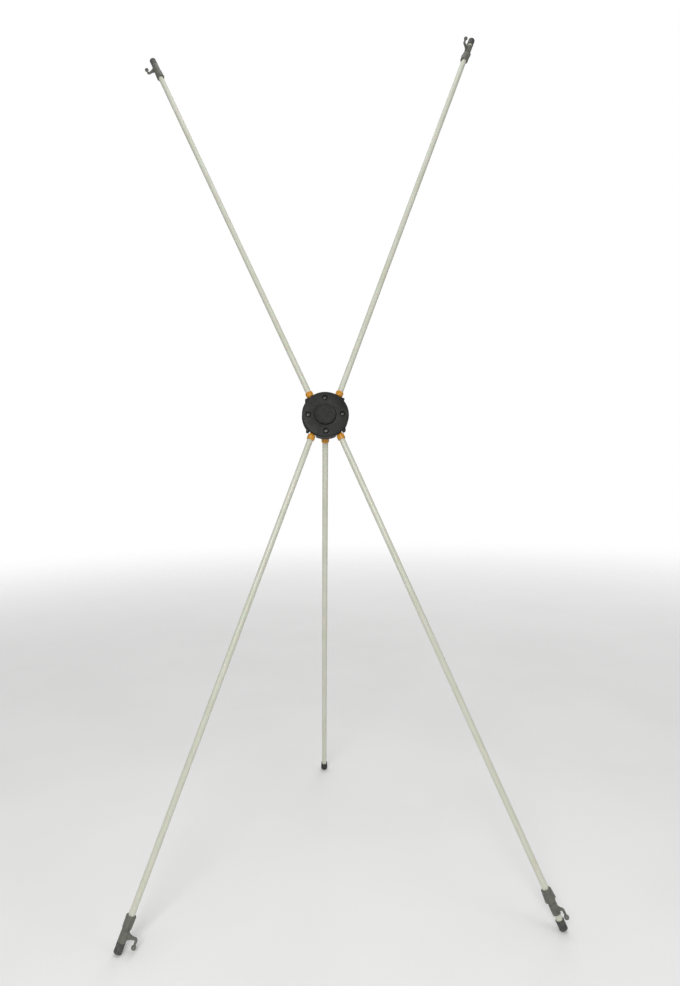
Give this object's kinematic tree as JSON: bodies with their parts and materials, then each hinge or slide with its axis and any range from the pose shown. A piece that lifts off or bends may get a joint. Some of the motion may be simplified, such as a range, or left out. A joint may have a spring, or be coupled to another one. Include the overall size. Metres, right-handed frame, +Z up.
{
  "type": "folding banner stand",
  "caption": "Folding X-frame banner stand: round black hub, orange hinge knuckles, pale glass-fibre poles, sliding grey hooks and end caps at the tips, and a rear support leg.",
  "frame": {"origin": "on the floor, at the bottom centre of the stand's box", "axes": "+Z up, -Y the front, where the hub's screws face, +Y towards the rear leg"},
  "size_m": [0.674, 0.5748, 1.552],
  "materials": {
    "hub": "fine satin moulded black plastic",
    "screw_steel": "plated steel",
    "pin_steel": "drawn steel",
    "knuckle": "glossy amber moulded plastic",
    "pole": "pale greenish glass-fibre tube with a resin gloss",
    "grip_collar": "satin moulded grey plastic",
    "hook_sleeve": "satin moulded grey plastic",
    "end_cap": "dark grey soft plastic",
    "rear_foot": "black rubber"
  },
  "bodies": {
    "hub": {"hub_front_shell": "hub", "hub_rear_shell": "hub", "hub_centre_cap": "hub", "hub_screw_top": "screw_steel", "hub_screw_right": "screw_steel", "hub_screw_bottom": "screw_steel", "hub_screw_left": "screw_steel", "arm_left_hinge_pin": "pin_steel", "arm_right_hinge_pin": "pin_steel", "leg_left_hinge_pin": "pin_steel", "leg_right_hinge_pin": "pin_steel", "rear_leg_hinge_pin": "pin_steel"},
    "arm_left": {"arm_left_knuckle": "knuckle", "arm_left_pole": "pole", "arm_left_end_cap": "end_cap"},
    "arm_right": {"arm_right_knuckle": "knuckle", "arm_right_pole": "pole", "arm_right_end_cap": "end_cap"},
    "leg_left": {"leg_left_knuckle": "knuckle", "leg_left_pole": "pole", "leg_left_end_cap": "end_cap"},
    "leg_right": {"leg_right_knuckle": "knuckle", "leg_right_pole": "pole", "leg_right_end_cap": "end_cap"},
    "rear_leg": {"rear_leg_knuckle": "knuckle", "rear_leg_pole": "pole", "rear_foot": "rear_foot"},
    "arm_left_slider": {"arm_left_grip_collar": "grip_collar"},
    "arm_left_hook": {"arm_left_hook_sleeve": "hook_sleeve"},
    "arm_right_slider": {"arm_right_grip_collar": "grip_collar"},
    "arm_right_hook": {"arm_right_hook_sleeve": "hook_sleeve"},
    "leg_left_slider": {"leg_left_grip_collar": "grip_collar"},
    "leg_left_hook": {"leg_left_hook_sleeve": "hook_sleeve"},
    "leg_right_slider": {"leg_right_grip_collar": "grip_collar"},
    "leg_right_hook": {"leg_right_hook_sleeve": "hook_sleeve"}
  },
  "joints": [
    {"name": "arm_left_fold", "type": "hinge", "parent": "hub", "child": "arm_left", "pos_m": [-0.01543, -0.07948, 0.80373], "axis": [-0.9298, -0.0859, -0.358], "range_deg": [-5.8, 79.2]},
    {"name": "arm_right_fold", "type": "hinge", "parent": "hub", "child": "arm_right", "pos_m": [0.02427, -0.07948, 0.80373], "axis": [-0.9298, 0.0859, 0.358], "range_deg": [-2.4, 82.6]},
    {"name": "leg_left_fold", "type": "hinge", "parent": "hub", "child": "leg_left", "pos_m": [-0.01543, -0.09069, 0.75705], "axis": [0.9298, -0.0859, -0.358], "range_deg": [0, 85]},
    {"name": "leg_right_fold", "type": "hinge", "parent": "hub", "child": "leg_right", "pos_m": [0.02427, -0.09069, 0.75705], "axis": [0.9298, 0.0859, 0.358], "range_deg": [0, 85]},
    {"name": "rear_leg_fold", "type": "hinge", "parent": "hub", "child": "rear_leg", "pos_m": [0.00442, -0.07659, 0.75367], "axis": [1, 0, 0], "range_deg": [0, 46]},
    {"name": "arm_left_slide", "type": "slide", "parent": "arm_left", "child": "arm_left_slider", "axis": [-0.3662, 0.3142, 0.8759], "range_m": [-0.7625, 0]},
    {"name": "arm_left_hook_turn", "type": "hinge", "parent": "arm_left_slider", "child": "arm_left_hook", "pos_m": [-0.31329, 0.17606, 1.51607], "axis": [-0.3662, 0.3142, 0.8759], "continuous": true},
    {"name": "arm_right_slide", "type": "slide", "parent": "arm_right", "child": "arm_right_slider", "axis": [0.3678, 0.2576, 0.8935], "range_m": [-0.7578, 0.0047]},
    {"name": "arm_right_hook_turn", "type": "hinge", "parent": "arm_right_slider", "child": "arm_right_hook", "pos_m": [0.32167, 0.1288, 1.52622], "axis": [0.3678, 0.2576, 0.8935], "continuous": true},
    {"name": "leg_left_slide", "type": "slide", "parent": "leg_left", "child": "leg_left_slider", "axis": [-0.3681, -0.2171, -0.9041], "range_m": [-0.7625, 0]},
    {"name": "leg_left_hook_turn", "type": "hinge", "parent": "leg_left_slider", "child": "leg_left_hook", "pos_m": [-0.31483, -0.26722, 0.02176], "axis": [-0.3681, -0.2171, -0.9041], "continuous": true},
    {"name": "leg_right_slide", "type": "slide", "parent": "leg_right", "child": "leg_right_slider", "axis": [0.3681, -0.2171, -0.9041], "range_m": [-0.7545, 0.008]},
    {"name": "leg_right_hook_turn", "type": "hinge", "parent": "leg_right_slider", "child": "leg_right_hook", "pos_m": [0.32072, -0.26548, 0.02899], "axis": [0.3681, -0.2171, -0.9041], "continuous": true}
  ]
}
